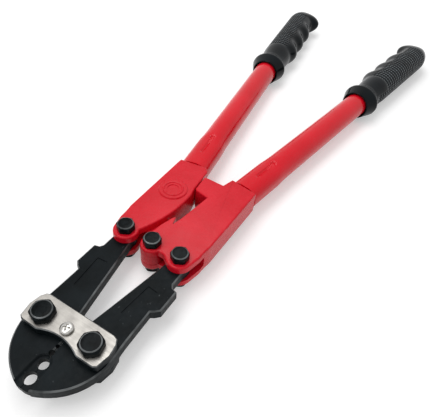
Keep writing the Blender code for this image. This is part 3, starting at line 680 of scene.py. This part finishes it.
def sleeve_point(angle, distance):
    """A point of the tube's outside, outwards and up from its axis."""
    press = 1 - ease((distance - SLEEVE_LENGTH + SLEEVE_BLEND / 2) / SLEEVE_BLEND)
    wide = TUBE_RADIUS + (SLEEVE_HALF_WIDTH - TUBE_RADIUS) * press
    high = TUBE_RADIUS + (SLEEVE_HALF_HEIGHT - TUBE_RADIUS) * press
    power = 1 - SLEEVE_SQUARENESS * press
    out, up = math.cos(angle), math.sin(angle)
    out = math.copysign(abs(out) ** power, out) * wide
    up = math.copysign(abs(up) ** power, up) * high
    if up > 0:
        up -= max(trough(GROOVE, distance, out), trough(DIMPLE, distance, out))
    return out, up


# %% [markdown]
# The tube's loft runs along its outside to the end in the grip, and back through its bore.


# %% The tubes
def make_tube(word, side):
    node = "handle_tube_" + word
    start = [START_GAP, 1.0, 6.0, 12.0]
    marked = [MARKED_START + MARKED_STEP * k for k in range(MARKED_RINGS)]
    plain = [SLEEVE_LENGTH + SLEEVE_BLEND / 2, 120.0, 200.0, 280.0, TUBE_LENGTH]
    inside = TUBE_RADIUS - TUBE_WALL
    rings = [(None, distance) for distance in start + marked + plain]
    rings += [(inside, TUBE_LENGTH), (inside, SPIGOT_BORE_END + BORE_TAPER)]
    rings += [(SPIGOT_ROOM, SPIGOT_BORE_END), (SPIGOT_ROOM, START_GAP), (None, START_GAP)]

    def point(ring, angle):
        radius, distance = rings[ring]
        if radius is None:
            out, up = sleeve_point(angle, distance)
        else:
            out, up = radius * math.cos(angle), radius * math.sin(angle)
        return on_handle(side, distance, out, up)

    bm = loft(len(rings), TUBE_SEGMENTS, point, through=True)
    keep(node, "_drawn", bm, [tube_red], sharp=45.0)


for word, side in SIDES.items():
    make_tube(word, side)

# %% [markdown]
# ## The grips
#
# A grip is one moulding.  From its mouth it has a thin lip, a collar that widens to a rim and steps
# down to a plain neck, a chequered body with three finger bumps on the inner side, and a guard
# hook beyond the last finger.  The section changes all the way, so a function gives its half-widths
# and half-height at any distance.

# %% The grip's section
GRIP_START = 196.0            # seam to the mouth
GRIP_LENGTH = 182.0
GRIP_BORE = 12.05
GRIP_RADIUS = 15.15
GRIP_SIDE = 0.8
GRIP_MOUTH = 14.0
LIP_WALL = 0.8
LIP_DEPTH = 5.0
COLLAR_HALF_WIDTH = 19.0
COLLAR_HALF_HEIGHT = 16.6
COLLAR_RIM = 14.0
COLLAR_LAND = 1.5
COLLAR_STEP = 6.0             # length of the slope behind the rim
COLLAR_LENGTH = 24.0
BEAD_RISE = 0.45              # a bead rings the neck
BEAD_PLACE = COLLAR_LENGTH - 2.0
BEAD_HALF_WIDTH = 0.9
NECK_LENGTH = 24.0
NECK_RADIUS = 14.3
FINGER_PITCH = 31.0
FINGER_COUNT = 3
FINGER_RISE = 4.6
HOOK_LENGTH = 28.0
HOOK_RISE = 7.5
HOOK_ROUND = 13.0
END_ROUND = 30.0
END_CLOSED = 0.9              # how nearly the end rounds to a point: 1 would be a full round


def rounded_end(distance, length):
    """The share of its width that the grip keeps over a rounded last length."""
    t = max(distance - GRIP_LENGTH + length, 0.0) / length
    return math.sqrt(1 - END_CLOSED * t * t)


def collar_flare(distance):
    """How far the collar has widened: 0 at the mouth and the neck, 1 at the rim."""
    if distance < COLLAR_RIM:
        return distance / COLLAR_RIM
    return max(1 - max(distance - COLLAR_RIM - COLLAR_LAND, 0.0) / COLLAR_STEP, 0.0)


def grip_section(distance):
    """Half-width outwards, half-width inwards and half-height of the grip."""
    body = ease((distance - COLLAR_LENGTH) / NECK_LENGTH)
    core = NECK_RADIUS + (GRIP_RADIUS - NECK_RADIUS) * body
    if distance < COLLAR_RIM:
        core = GRIP_MOUTH
    flare = collar_flare(distance)
    high = core + (COLLAR_HALF_HEIGHT - core) * flare
    out = core + GRIP_SIDE * body
    out += (COLLAR_HALF_WIDTH - out) * flare
    bead = BEAD_RISE * math.exp(-((distance - BEAD_PLACE) / BEAD_HALF_WIDTH) ** 2)
    high += bead
    out += bead
    inwards = out
    phase = (distance - COLLAR_LENGTH - NECK_LENGTH) / FINGER_PITCH
    if 0.0 < phase < FINGER_COUNT:
        inwards += FINGER_RISE * math.sin(math.pi * phase) ** 2
    inwards += HOOK_RISE * ease((distance - GRIP_LENGTH + HOOK_LENGTH) / HOOK_LENGTH * 2)
    close = rounded_end(distance, END_ROUND)
    return out * close, inwards * rounded_end(distance, HOOK_ROUND), high * close


# %% [markdown]
# The chequering is a field of small rounded pads between crossing grooves.  It covers the outer
# side, top and bottom, and leaves the finger side smooth.  On top it starts behind the plain neck,
# and lower down close behind the collar.  A real grip's grooves are finer, about three millimetres
# apart, and are drawn coarser along the grip so that they still show from afar.

# %% Chequering
CELL = 4.8                    # length of a pad along the grip
CELLS_AROUND = 36
CHEQUER_DEPTH = 0.8
PAD_FULLNESS = 0.7            # 1 would be a plain sine, and less is squarer
PAD_GLINT_FROM = 0.55                # height above which a pad top gets the painted glint, from 0 to 1
CHEQUER_TOP_START = 49.0
CHEQUER_LOW_START = 29.0
CHEQUER_END = 158.0
CHEQUER_FADE = 1.5            # length over which it starts and ends
TOP_FROM = 0.35               # sine of the angle above which a point belongs to the top
FINGER_REACH = 2.6            # how far round to the finger side the pads reach
FINGER_FADE = 4.5             # and how quickly they end there
RINGS_PER_CELL = 6
POINTS_PER_CELL = 4


def chequer(distance, angle):
    """How far a point is sunk, and whether it lies high on a pad, where glint is painted."""
    start = CHEQUER_TOP_START if math.sin(angle) > TOP_FROM else CHEQUER_LOW_START
    finger_side = max(-math.cos(angle), 0.0)
    covered = ease((distance - start) / CHEQUER_FADE)
    covered *= ease((CHEQUER_END - distance) / CHEQUER_FADE)
    covered *= ease(FINGER_REACH - FINGER_FADE * finger_side)
    row = abs(math.sin(math.pi * (distance - CHEQUER_LOW_START) / CELL)) ** PAD_FULLNESS
    column = abs(math.sin(angle * CELLS_AROUND / 2)) ** PAD_FULLNESS
    height = row * column
    return CHEQUER_DEPTH * covered * (1 - height), covered > 0.99 and height > PAD_GLINT_FROM


# %% [markdown]
# The grip's loft starts at the bottom of its bore, runs out over the lip, and comes back along the
# skin to the closed end.  Rings lie close where the shape turns quickly.

# %% The rings of a grip
LIP_ROUND = 0.3               # height of the lip's rounded edge
LIP_CORNER = 0.25             # and its width
FUNNEL_RINGS = 10
STEP_RINGS = 23
STEP_SPACING = 0.5
END_RINGS = 26


def grip_rings():
    """Radius and distance of each ring; a ring of the skin has no radius of its own."""
    bore_end = TUBE_LENGTH - GRIP_START + START_GAP
    wide = GRIP_MOUTH - LIP_WALL
    rings = [(GRIP_BORE, bore_end), (GRIP_BORE, 40.0), (GRIP_BORE, LIP_DEPTH + wide - GRIP_BORE)]
    rings += [(wide, LIP_DEPTH), (wide, LIP_ROUND), (wide + LIP_CORNER, 0.0)]
    rings += [(GRIP_MOUTH - LIP_CORNER, 0.0)]
    funnel = COLLAR_RIM - LIP_ROUND
    step = CELL / RINGS_PER_CELL
    rows = round((CHEQUER_END - CHEQUER_LOW_START) / step)
    last = CHEQUER_LOW_START + step * rows
    turns = [math.pi / 2 * k / END_RINGS for k in range(END_RINGS + 1)]
    skin = [LIP_ROUND + funnel * k / FUNNEL_RINGS for k in range(FUNNEL_RINGS + 1)]
    skin += [COLLAR_RIM + COLLAR_LAND + STEP_SPACING * k for k in range(STEP_RINGS)]
    skin += [CHEQUER_LOW_START + step * k for k in range(rows)]
    skin += [last + (GRIP_LENGTH - last) * math.sin(turn) for turn in turns]
    return rings + [(None, distance) for distance in skin]


print(len(grip_rings()), "rings in a grip")

# %% [markdown]
# The loft asks for its points in the order of the vertices, so a list can note for each one whether
# it lies high on a pad.  A face whose corners all do gets the lighter finish of the painted glint.


# %% The grips
def make_grip(word, side):
    node = "grip_" + word
    rings = grip_rings()
    glint_points = []

    def point(ring, angle):
        radius, distance = rings[ring]
        out, up = math.cos(angle), math.sin(angle)
        if radius is not None:
            glint_points.append(False)
            return on_handle(side, GRIP_START + distance, radius * out, radius * up)
        wide_out, wide_in, high = grip_section(distance)
        sunk, glint_here = chequer(distance, angle)
        glint_points.append(glint_here)
        reach = (wide_out if out > 0 else wide_in) - sunk
        return on_handle(side, GRIP_START + distance, reach * out, (high - sunk) * up)

    bm = loft(len(rings), CELLS_AROUND * POINTS_PER_CELL, point)
    bm.verts.index_update()
    for face in bm.faces:
        # pad-top faces take the second finish, the painted glint
        face.material_index = int(all(glint_points[vert.index] for vert in face.verts))
    keep(node, "_moulded", bm, [grip_black, pad_painted_glint], sharp=60.0)


for word, side in SIDES.items():
    make_grip(word, side)

# %% [markdown]
# ## Stage, light and camera
#
# The tool lies on a plain white sweep under one large soft lamp, with the white surroundings
# filling the shadows.  Camera rays, mirror rays and rays through glass see the surroundings as
# pure white, and all other light from them is weaker, so colours come out as they are written.
# A white room also shines in every black piece, so the blacks have weak mirror reflections.
#
# The floor is a pale grey that takes the tool's shadow.  Camera rays and mirror rays also see it
# glow, which lifts the grey to white where no shadow falls.

# %% The floor
FLOOR_HALF = 4.0
FLOOR_GLOW = 0.36

floor_mat, shader = new_finish("white_sweep", Roughness=0.9, Specular_IOR_Level=0.1)
shader.inputs["Base Color"].default_value = linear("#e2e2e2")
rays = add(floor_mat, "ShaderNodeLightPath")
seen = add(floor_mat, "ShaderNodeMath",
           {0: rays.outputs["Is Camera Ray"], 1: rays.outputs["Is Glossy Ray"]}, operation="MAXIMUM")
lift = add(floor_mat, "ShaderNodeMath", {0: seen.outputs[0], 1: FLOOR_GLOW}, operation="MULTIPLY")
glow = add(floor_mat, "ShaderNodeEmission", {"Strength": lift.outputs[0]})
both = add(floor_mat, "ShaderNodeAddShader", {0: shader.outputs[0], 1: glow.outputs[0]})
output = floor_mat.node_tree.nodes["Material Output"]
floor_mat.node_tree.links.new(both.outputs[0], output.inputs["Surface"])

bm = bmesh.new()
bmesh.ops.create_grid(bm, x_segments=1, y_segments=1, size=FLOOR_HALF)
floor_mesh = bpy.data.meshes.new("floor")
bm.to_mesh(floor_mesh)
bm.free()
floor_mesh.materials.append(floor_mat)
floor = bpy.data.objects.new("floor", floor_mesh)
bpy.context.scene.collection.objects.link(floor)

# %% The surroundings
WORLD_LIGHT = 0.6

world = bpy.data.worlds.new("white_studio")
bpy.context.scene.world = world
world.use_nodes = True
background = world.node_tree.nodes["Background"]
background.inputs["Color"].default_value = (1.0, 1.0, 1.0, 1.0)
rays = add(world, "ShaderNodeLightPath")
direct = add(world, "ShaderNodeMath",
             {0: rays.outputs["Is Camera Ray"], 1: rays.outputs["Is Glossy Ray"]},
             operation="MAXIMUM")
seen = add(world, "ShaderNodeMath",
           {0: direct.outputs[0], 1: rays.outputs["Is Transmission Ray"]}, operation="MAXIMUM")
strength = add(world, "ShaderNodeMapRange",
               {"Value": seen.outputs[0], "To Min": WORLD_LIGHT, "To Max": 1.0})
world.node_tree.links.new(strength.outputs[0], background.inputs["Strength"])

# %% The lamp
LAMP_PLACE = on_tool(150.0, 260.0, 850.0)
LAMP_AIM = on_tool(150.0, 0.0, 0.0)
LAMP_LENGTH = 1.3
LAMP_WIDTH = 0.4
LAMP_POWER = 5.0

lamp_data = bpy.data.lights.new("soft_lamp", "AREA")
lamp_data.shape = "RECTANGLE"
lamp_data.size = LAMP_LENGTH
lamp_data.size_y = LAMP_WIDTH
lamp_data.energy = LAMP_POWER
lamp = bpy.data.objects.new("soft_lamp", lamp_data)
towards = (LAMP_AIM - LAMP_PLACE).normalized()
along_tool = Vector((1.0, 0.0, 0.0))
turn = Matrix((along_tool, along_tool.cross(towards), -towards)).transposed().to_4x4()
lamp.matrix_world = Matrix.Translation(LAMP_PLACE) @ turn
bpy.context.scene.collection.objects.link(lamp)
print("lamp", round((LAMP_AIM - LAMP_PLACE).length, 2), "m from what it aims at")

# %% [markdown]
# The camera stands close, to the right of the jaws and above them, and looks along the handles, so
# the jaws loom large and the grips recede.  It is tilted by a few degrees, as a hand-held camera is.

# %% The camera
CAMERA_PLACE = on_tool(-77.05, -123.71, 246.01)
AZIMUTH = math.radians(26.3)
LOOK_DOWN = math.radians(45.0)
TILT = math.radians(6.9)
LENS = 36.9

level_forward = Vector((math.cos(AZIMUTH), math.sin(AZIMUTH), 0.0))
forward = level_forward * math.cos(LOOK_DOWN) - Vector((0.0, 0.0, math.sin(LOOK_DOWN)))
level_right = Vector((math.sin(AZIMUTH), -math.cos(AZIMUTH), 0.0))
level_up = level_right.cross(forward)
right = level_right * math.cos(TILT) + level_up * math.sin(TILT)
up = level_up * math.cos(TILT) - level_right * math.sin(TILT)
camera_data = bpy.data.cameras.new("camera")
camera_data.lens = LENS
camera = bpy.data.objects.new("camera", camera_data)
turn = Matrix((right, up, -forward)).transposed().to_4x4()
camera.matrix_world = Matrix.Translation(CAMERA_PLACE) @ turn
bpy.context.scene.collection.objects.link(camera)
bpy.context.scene.camera = camera
bpy.context.scene.view_settings.view_transform = "Standard"
